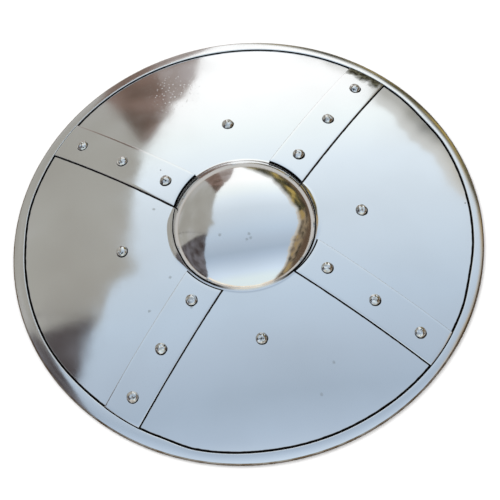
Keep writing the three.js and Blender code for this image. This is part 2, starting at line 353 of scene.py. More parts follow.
class Finish:
    """A material while its nodes are made. Lengths are metres in the frame of the shield."""

    def __init__(self, name, metallic, roughness=0.5):
        self.material = bpy.data.materials.new(name)
        self.material.use_nodes = True
        self.tree = self.material.node_tree
        self.shader = self.tree.nodes["Principled BSDF"]
        self.shader.inputs["Metallic"].default_value = metallic
        self.shader.inputs["Roughness"].default_value = roughness
        self.place = self.node("ShaderNodeTexCoord").outputs["Object"]

    def node(self, kind, values=(), **settings):
        node = self.tree.nodes.new(kind)
        for key, value in settings.items():
            setattr(node, key, value)
        for key, value in dict(values).items():
            self.feed(node.inputs[key], value)
        return node

    def feed(self, socket, value):
        if isinstance(value, bpy.types.NodeSocket):
            self.tree.links.new(value, socket)
        else:
            socket.default_value = value

    def maths(self, operation, *values):
        return self.node("ShaderNodeMath", enumerate(values), operation=operation).outputs[0]

    def vector(self, operation, output, *values):
        node = self.node("ShaderNodeVectorMath", enumerate(values), operation=operation)
        return node.outputs[output]

    def ramp(self, value, low, high, start=0.0, end=1.0):
        """Goes smoothly from start to end while the value goes from low to high."""
        values = {"Value": value, "From Min": low, "From Max": high, "To Min": start, "To Max": end}
        return self.node("ShaderNodeMapRange", values, interpolation_type="SMOOTHSTEP").outputs[0]

    def band(self, value, low, high, soft):
        """1 while the value lies from low to high, and 0 outside."""
        rise = self.ramp(value, low - soft, low + soft)
        fall = self.ramp(value, high - soft, high + soft, 1.0, 0.0)
        return self.maths("MULTIPLY", rise, fall)

    def noise(self, size, detail=2.0, stretch=(1, 1, 1), turn=0.0, shift=0.0):
        """Noise whose lumps are about the given size, longer where the stretch is under 1."""
        values = {"Vector": self.place, "Rotation": (0, 0, turn), "Scale": stretch}
        values["Location"] = (shift, shift / 2, 0)
        spot = self.node("ShaderNodeMapping", values).outputs[0]
        values = {"Vector": spot, "Scale": 1 / size, "Detail": detail}
        return self.node("ShaderNodeTexNoise", values).outputs["Fac"]

    def mix(self, share, first, second, kind="RGBA"):
        """A colour, or with the kind FLOAT a number, between the first and the second."""
        values = {"Factor": share, "A": first, "B": second}
        return self.node("ShaderNodeMix", values, data_type=kind).outputs["Result"]

    def attribute(self, name):
        return self.node("ShaderNodeAttribute", attribute_name=name).outputs["Vector"]

    def parts(self, vector):
        return self.node("ShaderNodeSeparateXYZ", {"Vector": vector}).outputs

    def plan_distance(self, spot):
        """Distance in plan from a place that is given in millimetres."""
        flat = self.vector("MULTIPLY", "Vector", self.place, (1, 1, 0))
        return self.vector("DISTANCE", "Value", flat, (spot[0] * 0.001, spot[1] * 0.001, 0))

    def distance(self, spot):
        return self.vector("DISTANCE", "Value", self.place, tuple(spot))

    def nearest(self, spots):
        shortest = self.distance(spots[0])
        for spot in spots[1:]:
            shortest = self.maths("MINIMUM", shortest, self.distance(spot))
        return shortest

    def any_of(self, *masks):
        most = masks[0]
        for mask in masks[1:]:
            most = self.maths("MAXIMUM", most, mask)
        return most

    def scratches(self, width, length, turn, shift):
        """Thin straight scratches that lie along one direction."""
        lines = self.noise(width, 1.0, (1, width / length, 1), turn, shift)
        return self.ramp(lines, 0.68, 0.76)

    def specks(self, spacing, size, shift=0.0):
        """Small round spots, one in each cell of a random net."""
        values = {"Vector": self.place, "Location": (shift, shift, shift)}
        spot = self.node("ShaderNodeMapping", values).outputs[0]
        values = {"Vector": spot, "Scale": 1 / spacing}
        cells = self.node("ShaderNodeTexVoronoi", values).outputs["Distance"]
        return self.ramp(cells, size / spacing * 0.5, size / spacing, 1.0, 0.0)

    def bump(self, height, depth):
        values = {"Height": height, "Distance": depth, "Strength": 1.0}
        return self.node("ShaderNodeBump", values).outputs["Normal"]

    def spots(self, places, size):
        """Soft spots, ragged at the edge, at plan places in millimetres."""
        reach = self.plan_distance(places[0])
        for place in places[1:]:
            reach = self.maths("MINIMUM", reach, self.plan_distance(place))
        ragged = self.maths("MULTIPLY_ADD", self.noise(size), size, -0.5 * size)
        return self.ramp(self.maths("ADD", reach, ragged), size * 0.3, size, 1.0, 0.0)

    def finished(self, colour, roughness, height, depth, dirt_and_shade=None):
        """Joins the values to the shader; where there is dirt and painted shade, the metal loses its
        shine.
        """
        self.feed(self.shader.inputs["Base Color"], colour)
        self.feed(self.shader.inputs["Roughness"], roughness)
        self.feed(self.shader.inputs["Normal"], self.bump(height, depth))
        if dirt_and_shade is not None:
            self.shader.inputs["Specular IOR Level"].default_value = 0.0
            self.feed(self.shader.inputs["Metallic"], self.maths("SUBTRACT", 1.0, dirt_and_shade))
        return self.material


STEEL_LIGHT = (0.80, 0.81, 0.82, 1)
STEEL_DULL = (0.76, 0.765, 0.77, 1)
STEEL_WEAR_AND_HIGHLIGHT = (0.96, 0.96, 0.95, 1)
STEEL_BROWNED_AND_REFLECTION = (0.20, 0.145, 0.095, 1)
STEEL_MARKED = (0.42, 0.42, 0.40, 1)
STAIN_DARK = (0.035, 0.030, 0.016, 1)
STAIN_LIGHT = (0.17, 0.16, 0.11, 1)
# Near-black: real specks and dirt, and painted shade in seams, creases, under rivets and on cut edges.
GRIME_AND_SHADE = (0.003, 0.003, 0.003, 1)
GRIME_AND_SHADE_CRUMBS = (0.020, 0.018, 0.016, 1)
RUST = (0.16, 0.12, 0.08, 1)
BACK_LIGHT = (0.50, 0.50, 0.50, 1)
BACK_DARK = (0.33, 0.31, 0.29, 1)
FOLD_LIGHT = (0.40, 0.36, 0.32, 1)
RIVET_LIGHT = (0.80, 0.80, 0.79, 1)
RIVET_DULL = (0.50, 0.48, 0.45, 1)
RIVET_GRIME = (0.03, 0.026, 0.022, 1)
LEATHER = (0.115, 0.052, 0.024, 1)
LEATHER_DARK = (0.060, 0.027, 0.013, 1)
LEATHER_EDGE = (0.022, 0.010, 0.006, 1)
DULL_ROUGHNESS = 0.42

SHADOW_SHIFT = (0.0002, -0.0006, 0)  # of the painted shadow under a rivet's head
CREASE_SHADE = (-0.0003, 0.0011)  # from and to, outside the crease at the boss's foot
# The crease's painted shade is thin in the south: least inside the first distance from the Y axis.
CREASE_THIN = (0.012, 0.032)
CREASE_THIN_SHARE = 0.25
STAIN_ENDS = (-0.0040, 0.0030)  # from clear to full, outside the nominal edge of the rim
STAIN_SIDE = -0.015
# Where the fold is brown: partly browned steel, partly a painted reflection of dark ground.
BROWN_AND_REFLECTION_AZIMUTH = math.radians(-18)
BROWN_AND_REFLECTION_SIDE = (math.cos(BROWN_AND_REFLECTION_AZIMUTH), math.sin(BROWN_AND_REFLECTION_AZIMUTH))
BROWN_AND_REFLECTION_FROM = (0.18, 0.20)
CREASE_INSET = (0.0031, 0.0026)  # of the crease along a strap's edges
EDGE_INSET = (0.0024, 0.0006)  # of the burnished edge
GRAIN_SIZE = 0.0013

# Plan places in millimetres, measured on the photograph and rounded.
FAINT_MARKS = (
    (2.7, -20.8), (0.5, -25.0), (3.6, -24.2), (-21, -17), (55, -129), (41, -153), (-73, 29),
    (-88, -62), (-53, -67), (-67, -37),
)  # fmt: skip
BLACK_SPECKS = ((188, 4.6), (-63, 65))
SCUFFED_PLACE = (-42, 156)
SCUFFED_REACH = 0.042


def polished(finish, dirt_and_shade, wear_and_highlight, stain=0.0, roughness=0.10):
    """Polished steel with faint smudges and scratches, marks, stains, dirt and painted shade, and worn
    edges that carry a painted highlight.
    """
    smudge = finish.noise(0.035, 4.0)
    patch = finish.noise(0.11, 3.0, shift=4.0)
    colour = finish.mix(finish.ramp(patch, 0.40, 0.72), STEEL_LIGHT, STEEL_DULL)
    scratch = finish.any_of(
        finish.scratches(0.0006, 0.035, 0.5, 1.0),
        finish.scratches(0.0006, 0.050, 1.9, 2.0),
        finish.scratches(0.0005, 0.028, 2.7, 3.0),
    )
    scuffed = finish.ramp(finish.plan_distance(SCUFFED_PLACE), 0.0, SCUFFED_REACH, 1.0, 0.0)
    scuff = finish.maths("MULTIPLY", finish.specks(0.0032, 0.0009), scuffed)
    mark = finish.maths("MULTIPLY", finish.spots(FAINT_MARKS, 0.0018), 0.6)
    speck = finish.spots(BLACK_SPECKS, 0.0009)
    blotch = finish.ramp(finish.noise(0.0026, 3.0, shift=7.0), 0.36, 0.62)
    colour = finish.mix(mark, colour, STEEL_MARKED)
    colour = finish.mix(stain, colour, finish.mix(blotch, STAIN_DARK, STAIN_LIGHT))
    colour = finish.mix(wear_and_highlight, colour, STEEL_WEAR_AND_HIGHLIGHT)
    dirt_and_shade = finish.any_of(dirt_and_shade, speck)
    colour = finish.mix(dirt_and_shade, colour, GRIME_AND_SHADE)
    gloss = finish.ramp(smudge, 0.35, 0.75, roughness - 0.02, roughness + 0.04)
    gloss = finish.maths("MULTIPLY_ADD", scratch, 0.03, gloss)
    gloss = finish.mix(finish.any_of(wear_and_highlight, stain, scuff, mark), gloss, DULL_ROUGHNESS, "FLOAT")
    ripple = finish.noise(0.004, 3.0, shift=5.0)
    height = finish.maths("MULTIPLY_ADD", ripple, 0.10, finish.maths("MULTIPLY", scratch, -0.06))
    height = finish.maths("MULTIPLY_ADD", scuff, -0.6, height)
    return finish.finished(colour, gloss, height, 0.00002, dirt_and_shade)


def rivet_shadow(finish, names, seat):
    """A broken dark crescent of painted shadow on the plate along each rivet's southern side."""
    spots = [CENTRE + RIVET_DIRECTIONS[name] * seat + Vector(SHADOW_SHIFT) for name in names]
    reach = finish.nearest(spots)
    edge = finish.maths("MULTIPLY_ADD", finish.noise(0.003), 0.0010, HEAD_RADIUS - 0.0002)
    past = finish.maths("SUBTRACT", reach, edge)
    return finish.ramp(past, -0.0002, 0.0003, 1.0, 0.0)


def shade_beside_bar(finish, name, radius):
    """Painted shade on the sheet along both sides and the inner end of a bar, with a thin dark seam on
    the SW bar's north side.
    """
    forward, sideways, middle = bar_line(name)
    across = finish.vector("DOT_PRODUCT", "Value", finish.place, (*sideways, 0))
    along = finish.vector("DOT_PRODUCT", "Value", finish.place, (*forward, 0))
    ragged = finish.maths("MULTIPLY_ADD", finish.noise(0.005), 0.0006, -0.0003 - middle)
    across = finish.maths("ADD", across, ragged)
    clockwise, counter = BAR_SHADE_SEAMS[name]
    shade_seam = finish.band(across, -BAR_WIDTH / 2 - clockwise, BAR_WIDTH / 2 + counter, 0.0002)
    ahead = finish.ramp(along, 0.0, 0.001)
    inner, skew = BAR_ENDS[name]
    slant = -skew / (BAR_WIDTH / 2)
    past_end = finish.maths("MULTIPLY_ADD", across, slant, radius)
    past_end = finish.ramp(past_end, inner - END_SHADE_SEAM - 0.0002, inner - END_SHADE_SEAM + 0.0002)
    return finish.maths("MULTIPLY", finish.maths("MULTIPLY", shade_seam, past_end), ahead)


def dish_front():
    finish = Finish("sheet_front", 1.0)
    outside, beyond, _ = finish.parts(finish.attribute("place"))
    # Painted shade: a black line on the sheet along the rim's inner edge, in the gap under the band,
    # with some dirt.
    ragged = finish.maths("MULTIPLY_ADD", finish.noise(0.006), 0.0008, outside)
    shade_seam = finish.ramp(ragged, 0.0001, 0.0006)
    # Painted shadow under the strap rivets' heads.
    ring = rivet_shadow(finish, STRAP_RIVETS, DISH_RADIUS)
    radius = finish.plan_distance((0, 0))
    # Painted shade beside each bar's south-facing side and inner end, where the bar's edge would shade
    # the sheet.
    beside = [shade_beside_bar(finish, name, radius) for name in BARS]
    # Painted shade in the crease at the boss's foot, thinner in the south.
    wide = finish.maths("MULTIPLY_ADD", finish.noise(0.008), 0.0006, beyond)
    crease = finish.band(wide, *CREASE_SHADE, 0.0003)
    sideways = finish.maths("ABSOLUTE", finish.parts(finish.place)["X"])
    thick = finish.ramp(sideways, *CREASE_THIN, CREASE_THIN_SHARE, 1.0)
    crease = finish.maths("MULTIPLY", crease, thick)
    return polished(finish, finish.any_of(shade_seam, ring, crease, *beside), 0.0)


def bar_front(name):
    finish = Finish(f"bar_{name}_front", 1.0)
    along, across, _ = finish.parts(finish.attribute("place"))
    names = [f"rivet_{name}_{station}" for station in STATIONS]
    # Painted shadow under the bar's rivet heads.
    ring = rivet_shadow(finish, names, DISH_RADIUS + GAP + BAR_THICKNESS)
    stain = 0.0
    if name == "ne":
        reach = finish.maths("MULTIPLY_ADD", finish.noise(0.007, 4.0), 0.014, along)
        clear, full = STAIN_ENDS
        stain = finish.ramp(reach, RIM_INNER_RADIUS + clear, RIM_INNER_RADIUS + full)
        beside = finish.band(across, STAIN_SIDE, BAR_WIDTH / 2, 0.002)
        stain = finish.maths("MULTIPLY", stain, beside)
    return polished(finish, ring, 0.0, stain)


def cut_edge_dirt_and_shade():
    """The sawn edge of a bar or of the rim's band, black with dirt and painted shade."""
    finish = Finish("cut_edge_dirt_and_shade", 0.0, 0.8)
    finish.shader.inputs["Specular IOR Level"].default_value = 0.0
    crumbs = finish.ramp(finish.noise(0.004, 3.0), 0.5, 0.75)
    colour = finish.mix(crumbs, GRIME_AND_SHADE, GRIME_AND_SHADE_CRUMBS)
    rough = finish.ramp(crumbs, 0.0, 1.0, 0.7, 0.9)
    return finish.finished(colour, rough, finish.noise(0.0008), 0.0001)


def steel_back(name):
    """Plainer steel: rolled, oiled and a little browned."""
    finish = Finish(name, 1.0)
    cloud = finish.noise(0.045, 5.0, shift=2.0)
    bloom = finish.noise(0.012, 4.0, shift=6.0)
    colour = finish.mix(finish.ramp(cloud, 0.35, 0.7), BACK_LIGHT, BACK_DARK)
    colour = finish.mix(finish.ramp(bloom, 0.60, 0.72, 0.0, 0.7), colour, RUST)
    rough = finish.ramp(cloud, 0.3, 0.75, 0.30, 0.46)
    grain = finish.noise(0.0012, 4.0, (1, 0.05, 1), 0.4)
    return finish.finished(colour, rough, grain, 0.00008)


def rim_steel():
    """Polished, and worn white along the inner edge: partly wear, partly a painted highlight."""
    finish = Finish("rim_steel", 1.0)
    outside, _, _ = finish.parts(finish.attribute("place"))
    # Painted highlight along the band's rounded inner edge, with some wear.
    wear_and_highlight = finish.ramp(outside, 0.0008, 0.0013, 0.5, 0.0)
    return polished(finish, 0.0, wear_and_highlight, roughness=0.15)


def fold_steel():
    """Brown in blotches, most of all towards the east-south-east: partly browned steel, partly a
    painted reflection of dark ground.
    """
    finish = Finish("rim_fold", 1.0)
    # Painted reflection of dark ground, with browning, strongest towards the east-south-east.
    toward = finish.vector("DOT_PRODUCT", "Value", finish.place, (*BROWN_AND_REFLECTION_SIDE, 0))
    browned_and_reflection = finish.ramp(toward, *BROWN_AND_REFLECTION_FROM, 0.0, 0.25)
    cloud = finish.maths("SUBTRACT", finish.noise(0.010, 4.0), browned_and_reflection)
    colour = finish.mix(finish.ramp(cloud, 0.35, 0.65), STEEL_BROWNED_AND_REFLECTION, FOLD_LIGHT)
    rough = finish.ramp(finish.noise(0.005, 3.0), 0.3, 0.7, 0.25, 0.45)
    return finish.finished(colour, rough, finish.noise(0.0015, 3.0), 0.0001)


def rivet_steel():
    finish = Finish("rivet_steel", 1.0)
    cloud = finish.noise(0.0025, 3.0)
    colour = finish.mix(finish.ramp(cloud, 0.35, 0.7), RIVET_LIGHT, RIVET_DULL)
    grime = finish.ramp(finish.noise(0.0022, 2.0, shift=3.0), 0.60, 0.66)
    colour = finish.mix(grime, colour, RIVET_GRIME)
    rough = finish.ramp(cloud, 0.3, 0.7, 0.06, 0.11)
    return finish.finished(colour, rough, finish.noise(0.0016, 1.0), 0.00004)


def strap_leather():
    """Brown waxed leather with a grain, a crease along each edge and burnished darker edges."""
    finish = Finish("strap_leather", 0.0)
    _, across, _ = finish.parts(finish.attribute("place"))
    side = finish.maths("ABSOLUTE", across)
    edge = finish.ramp(side, *(STRAP_WIDTH / 2 - inset for inset in EDGE_INSET))
    crease = finish.band(side, *(STRAP_WIDTH / 2 - inset for inset in CREASE_INSET), 0.0002)
    cloud = finish.noise(0.020, 4.0)
    colour = finish.mix(finish.ramp(cloud, 0.3, 0.7), LEATHER, LEATHER_DARK)
    colour = finish.mix(finish.any_of(edge, crease), colour, LEATHER_EDGE)
    cells = {"Vector": finish.place, "Scale": 1 / GRAIN_SIZE}
    grain = finish.node("ShaderNodeTexVoronoi", cells, feature="SMOOTH_F1").outputs["Distance"]
    fine = finish.maths("MULTIPLY_ADD", finish.noise(0.0006, 3.0), 0.5, grain)
    height = finish.maths("MULTIPLY_ADD", crease, -2.0, fine)
    rough = finish.ramp(cloud, 0.3, 0.7, 0.42, 0.62)
    return finish.finished(colour, rough, height, 0.00012)


# ------------------------------------------------------------------ dish with boss

ROUND_SEGMENTS = 288
# Radii of the sheet's rings: from, to and how many.
DISH_RINGS = ((0.1969, 0.0665, 48), (0.0665, 0.0625, 8), (0.0625, 0.0585, 24), (0.0585, 0, 44))
WAVE_HEIGHT = 0.00022
WAVE_LENGTH = 0.070
WAVES_START = (0.066, 0.085)  # the waves grow and fade between these radii
WAVES_STOP = (0.186, 0.192)
TILT_STEP = 0.00005
BROAD_SIDES = (math.radians(4), math.radians(184))
BROAD_REACH = (14, 30)  # degrees to each side: fully broad up to the first, not at all past the second


def broadness(turn):
    """1 where the boss's foot is broad, 0 where bars hold the sheet down."""
    away = min(abs(math.remainder(turn - side, math.tau)) for side in BROAD_SIDES)
    return 1 - smooth_step(math.degrees(away), *BROAD_REACH)


def front_height(radius, broad):
    """The sheet's front: a sphere that a fillet and a crease join to the boss's ellipsoid."""
    fillet = FOOT_ROUND + broad * BROAD_ROUND
    inside = min(max(0, FOOT_RADIUS + broad * BROAD_FOOT - radius), FOOT_WIDTH)
    foot = sphere_height(DISH_RADIUS, radius) + inside**2 / (2 * fillet)
    if radius > BOSS_RADIUS:
        return foot
    boss = OVERALL_HEIGHT - BOSS_RISE * (1 - math.sqrt(1 - (radius / BOSS_RADIUS) ** 2))
    near = max(0, BOSS_CREASE - abs(foot - boss)) / BOSS_CREASE
    return max(foot, boss) + near**2 * BOSS_CREASE / 4


def dish_profile(turn):
    """The sheet's front from its edge to the axis: plan radius, height and tilt."""
    broad = broadness(turn)
    radii = [radius for run in DISH_RINGS for radius in steps(*run)[:-1]] + [0]
    line = []
    for radius in radii:
        rise = front_height(max(0, radius - TILT_STEP), broad)
        fall = front_height(radius + TILT_STEP, broad)
        tilt = math.atan2(rise - fall, 2 * TILT_STEP) if radius else 0
        line.append((radius, front_height(radius, broad), tilt))
    return line


def dish_section(turn):
    """The sheet's section as one line, from the middle of its back round its edge."""
    line = dish_profile(turn)
    back = [
        (radius - SHEET * math.sin(tilt), height - SHEET * math.cos(tilt))
        for radius, height, tilt in line
    ]
    return back[::-1] + [(radius, height) for radius, height, _ in line]


def dish():
    points, faces = turned(dish_section, ROUND_SEGMENTS, False)
    places = []
    for point in points:
        radius = point.xy.length
        share = smooth_step(radius, *WAVES_START) * (1 - smooth_step(radius, *WAVES_STOP))
        point.z += share * WAVE_HEIGHT * wander((point.x, point.y, 0), WAVE_LENGTH, 1)
        # The painted shade beside the rim is wider in the south, where the band's edge hides some of
        # it.
        shade_seam = RIM_SHADE_SEAM - RIM_SHADE_SEAM_SOUTH * point.y / OVERALL_RADIUS
        crease = CREASE_RADIUS + BROAD_CREASE * broadness(math.atan2(point.y, point.x))
        places.append((radius - rim_edge(point.x, point.y) + shade_seam, radius - crease, 0))
    kinds = [1] * (len(faces) // 2) + [0] * (len(faces) - len(faces) // 2)
    obj = piece("dish_sheet", points, faces, [dish_front(), steel_back("sheet_back")], kinds)
    with_places(obj, places)
    hand_in(obj, "dish")


# ------------------------------------------------------------------ rim


def fold_arc(radius, start, end, count):
    """Points round the fold; the angle is measured from straight up."""
    return [
        (
            min(OVERALL_RADIUS, FOLD_RADIUS + radius * math.sin(angle)),
            max(0, RIM_FOLD_HEIGHT + radius * math.cos(angle)),
        )
        for angle in steps(start, end, count)
    ]


def leaf(sphere_radius, start, end, count):
    return [(radius, sphere_height(sphere_radius, radius)) for radius in steps(start, end, count)]


def crown(start, edge_radius, count):
    """The band's crowned face, from the fold to its edge."""
    line = [start]
    run = (start[0] - edge_radius) / count
    for part in range(count):
        share = (part + 0.5) / count
        tilt = RIM_OUTER_TILT + share * (RIM_INNER_TILT - RIM_OUTER_TILT)
        radius, height = line[-1]
        line.append((radius - run, height + run * math.tan(tilt)))
    return line


def rim_section(turn):
    """The folded band's section in four runs: front face, cut edge, hidden faces and fold."""
    edge_radius = rim_edge(math.cos(turn), math.sin(turn))
    tilt = math.asin(FOLD_RADIUS / (DISH_RADIUS - SHEET / 2))
    back_inside = DISH_RADIUS - SHEET - GAP
    back_face = back_inside - RIM_LEAF
    flat_outer = math.acos(-RIM_FOLD_HEIGHT / RIM_FOLD)
    flat_inner = math.sqrt(back_face**2 - CENTRE.z**2)
    *fold, fold_top = fold_arc(RIM_FOLD, flat_outer, RIM_OUTER_TILT, 18)
    face = crown(fold_top, edge_radius, 16)
    inside = leaf(DISH_RADIUS + GAP, edge_radius, FOLD_RADIUS - GAP, 4)
    corner = rounded_corner(face[-2], face[-1], inside[0], RIM_EDGE_ROUND)
    hidden = [
        *inside,
        *fold_arc(SHEET / 2 + GAP, tilt, tilt + math.pi, 6),
        *leaf(back_inside, FOLD_RADIUS - GAP, RIM_BACK_RADIUS, 3),
        *leaf(back_face, RIM_BACK_RADIUS, flat_inner, 4),
    ]
    return [*face[:-1], *corner[:-1]], corner[-1:], hidden, fold


def rim():
    points, faces = turned(lambda turn: sum(rim_section(turn), []), ROUND_SEGMENTS, True)
    kinds = []
    for kind, run in enumerate(rim_section(0)):
        kinds += [kind] * (len(run) * ROUND_SEGMENTS)
    materials = [rim_steel(), CUT_EDGE_DIRT_AND_SHADE, steel_back("rim_back"), fold_steel()]
    obj = piece("rim_band", points, faces, materials, kinds)
    with_places(obj, [(point.xy.length - rim_edge(point.x, point.y), 0, 0) for point in points])
    hand_in(obj, "rim")


# ------------------------------------------------------------------ bars


def bar(name, seed):
    forward, sideways, middle = bar_line(name)
    inner_radius, skew = BAR_ENDS[name]
    reach = RIM_INNER_RADIUS - inner_radius
    middle_sphere = DISH_RADIUS + GAP + BAR_THICKNESS / 2
    places = []

    def place(along, across, through):
        side = middle + across
        start = inner_radius + skew * across / (BAR_WIDTH / 2)
        end = rim_edge(*(forward * RIM_INNER_RADIUS + sideways * side)) - BAR_TO_RIM
        plan_radius = start + (along / reach + 0.5) * (end - start)
        spot = forward * math.sqrt(plan_radius**2 - side**2) + sideways * side
        height = sphere_height(middle_sphere + through, plan_radius)
        height += BAR_WAVE_HEIGHT * wander((spot.x, spot.y, 0), BAR_WAVE_LENGTH, seed)
        places.append((plan_radius, across, through))
        return Vector((*spot, height))

    points, faces, kinds = slab(
        stations(reach, BAR_EDGE_ROUND, BAR_GRID[0]),
        stations(BAR_WIDTH, BAR_EDGE_ROUND, BAR_GRID[1]),
        BAR_THICKNESS,
        BAR_EDGE_ROUND,
        place,
    )
    materials = [bar_front(name), BACK_OF_BARS, CUT_EDGE_DIRT_AND_SHADE]
    obj = piece(f"bar_{name}_plate", points, faces, materials, kinds, math.radians(70))
    with_places(obj, places)
    hand_in(obj, f"bar_{name}")


# ------------------------------------------------------------------ rivets

RIVET_SEGMENTS = 40


def rivet(name, seat, stack, seed):
    """A hand-hammered rivet: a dented dome in front, its shank, and a flattened tail behind."""
    under = -stack - GAP
    dome_height = HEAD_HEIGHT + GAP
    dome = [
        (HEAD_RADIUS * math.sin(angle), HEAD_LIFT + dome_height * math.cos(angle) ** HEAD_FULLNESS)
        for angle in steps(math.pi / 2, 0, 16)
    ]
    tail = [
        (TAIL_RADIUS * math.sin(angle), under - TAIL_HEIGHT * math.cos(angle) ** TAIL_FULLNESS)
        for angle in steps(0, math.pi / 2, 8)
    ]
    profile = [*tail, (SHANK_RADIUS, under), (SHANK_RADIUS, HEAD_LIFT), *dome]
    points, faces = turned(lambda turn: profile, RIVET_SEGMENTS, False)
    for point in points:
        if point.z > HEAD_LIFT:
            point.z -= DENT_DEPTH * max(0, wander(point, DENT_SIZE, seed) + DENT_SHARE)
        stray = wander((point.x, point.y, 0), HEAD_STRAY_LENGTH, seed + 3)
        point.xy *= 1 + HEAD_STRAY * stray
    direction = RIVET_DIRECTIONS[name]
    turn = Vector((0, 0, 1)).rotation_difference(direction).to_matrix().to_4x4()
    put = Matrix.Translation(CENTRE + direction * seat) @ turn
    obj = piece(f"{name}_head", [put @ point for point in points], faces, [RIVET_FINISH])
    hand_in(obj, name)


# ------------------------------------------------------------------ straps


def strap_drop(arc, loop_end):
    """How far the strap hangs off the sheet, at an arc length from its middle."""
    if abs(arc) >= loop_end:
        return 0
    return STRAP_LOOP * (1 + math.cos(math.pi * arc / loop_end)) / 2


def strap(name, start, end):
    seat = DISH_RADIUS - SHEET - STRAP_SEAT_GAP
    start, end = (RIVET_DIRECTIONS[f"strap_rivet_{side}"] for side in (start, end))
    rivet_arc = seat * start.angle(end) / 2
    loop_end = rivet_arc - STRAP_TAB_INSIDE
    strap_end = rivet_arc + STRAP_TAB_OUTSIDE
    forward = (end - start).normalized()
    outward = (end + start).normalized()
    sideways = outward.cross(forward)
    places = []

    def path(arc):
        reach = seat - strap_drop(arc, loop_end)
        return reach * (forward * math.sin(arc / seat) + outward * math.cos(arc / seat))

    def place(along, across, through):
        past = abs(across) - (STRAP_WIDTH / 2 - STRAP_CORNER)
        cut = STRAP_CORNER - math.sqrt(STRAP_CORNER**2 - past**2) if past > 0 else 0
        tab = max(0, abs(along) - rivet_arc) / STRAP_TAB_OUTSIDE
        arc = along - math.copysign(cut * tab, along)
        tangent = (path(arc + 1e-5) - path(arc - 1e-5)).normalized()
        normal = tangent.cross(sideways)
        spot = path(arc) + normal * (through - STRAP_THICKNESS / 2)
        places.append((along, across, through))
        return CENTRE + spot + sideways * across

    points, faces, _ = slab(
        stations(2 * strap_end, STRAP_EDGE_ROUND, STRAP_GRID[0]),
        stations(STRAP_WIDTH, STRAP_EDGE_ROUND, STRAP_GRID[1]),
        STRAP_THICKNESS,
        STRAP_EDGE_ROUND,
        place,
    )
    obj = piece(f"{name}_leather", points, faces, [STRAP_FINISH])
    with_places(obj, places)
    hand_in(obj, name)


# ------------------------------------------------------------------ light and stage

WHITE = (1, 1, 1, 1)
TENT_RADIUS = 8.0
CARD_ROWS = 8
KEY_PLACE = (-1.2, 1.4, 2.6)
KEY_SIZE = 1.6
KEY_POWER = 30
FLOOR_PALE = (0.97, 0.97, 0.97, 1)
FLOOR_REACH = 6.0
FLOOR_DROP = 0.0002  # how far the floor lies under the rim
# What polished steel reflects is a surrounding fitted to the photograph's reflections: this sky,
# this ground and the cards. From south to north, the y part of a direction and the light from there.
TENT = (
    (-0.85, (0.90, 1.02, 1.04)),
    (-0.66, (0.78, 0.91, 1.05)),
    (-0.30, (0.52, 0.63, 0.77)),
    (-0.17, (0.46, 0.56, 0.68)),
    (0.00, (0.53, 0.63, 0.75)),
    (0.17, (0.61, 0.73, 0.86)),
    (0.50, (0.77, 0.87, 0.96)),
    (0.64, (0.92, 1.02, 1.10)),
    (0.77, (1.10, 1.17, 1.17)),
    (0.88, (1.28, 1.28, 1.27)),
)
# Below the horizon, by the z part of a direction: dark ground further down, pale ground far off.
GROUND = (
    (-1.00, (0.14, 0.11, 0.09)),
    (-0.62, (0.20, 0.16, 0.13)),
    (-0.36, (0.62, 0.61, 0.59)),
    (-0.04, (0.66, 0.64, 0.61)),
    (-0.01, (0.50, 0.38, 0.27)),
)
# A card's colours: patches from dark to light, and for some the colour of its fringe and its foot.
# A card's line is its outline in the photograph's reflections, measured and rounded: (azimuth, angle
# from straight up) in degrees.
HEDGE = (((0.02, 0.022, 0.014), (0.05, 0.048, 0.028), (0.10, 0.088, 0.042), (0.22, 0.175, 0.07),
          (0.50, 0.37, 0.11)), (0.74, 0.74, 0.71), (0.13, 0.085, 0.055))  # fmt: skip
HEDGE_LINE = (
    (26, 58), (40, 57), (48, 58), (57, 62), (62, 65), (67, 70), (73, 72), (80, 79), (86, 86),
)  # fmt: skip
BUSHES = (((0.05, 0.045, 0.03), (0.14, 0.11, 0.075), (0.24, 0.19, 0.13), (0.36, 0.27, 0.17),
           (0.42, 0.30, 0.12)), (0.66, 0.62, 0.55), (0.13, 0.085, 0.055))  # fmt: skip
BUSH_LINE = (
    (-65, 84), (-51, 69), (-41, 60), (-23, 47), (-6, 45), (4, 50), (12, 55), (28, 58),
)  # fmt: skip
WALL = (((0.41, 0.395, 0.355), (0.45, 0.44, 0.40), (0.52, 0.51, 0.49)),)
WALL_LINE = (
    (108.5, 56), (111, 51), (121, 43), (126, 39), (129, 38), (132, 36.5), (134, 34), (136, 32),
    (139, 32), (142, 34), (145, 35), (157, 35), (161, 36),
)  # fmt: skip
WALL_FOOT_LINE = ((156.5, 36), (159, 43), (161, 48), (165, 57), (168, 70), (169, 89))
STACK = (((0.07, 0.055, 0.055), (0.13, 0.12, 0.125), (0.20, 0.19, 0.21)),)
STACK_LINE = ((156, 36), (164, 37), (175, 39), (182, 42), (200, 53), (211, 69), (214, 80))
GABLE = (((0.30, 0.25, 0.23), (0.37, 0.31, 0.28), (0.47, 0.42, 0.41)),)
GABLE_LINE = ((91, 86), (92.5, 76), (94, 69), (97, 64), (103, 59))
GABLE_END = (((0.13, 0.09, 0.07), (0.22, 0.15, 0.12), (0.30, 0.21, 0.18)),)
GABLE_END_LINE = ((100, 60.5), (103, 58.5), (105, 56.5), (109, 54))
GLOW = (((1.00, 0.80, 0.60), (1.25, 1.15, 0.95)),)
GLOW_LINE = ((216, 83), (297, 83))
FRINGE = 8.0  # degrees below a card's skyline over which its fringe fades


def add_node(tree, kind, **settings):
    node = tree.nodes.new(kind)
    for key, value in settings.items():
        setattr(node, key, value)
    return node


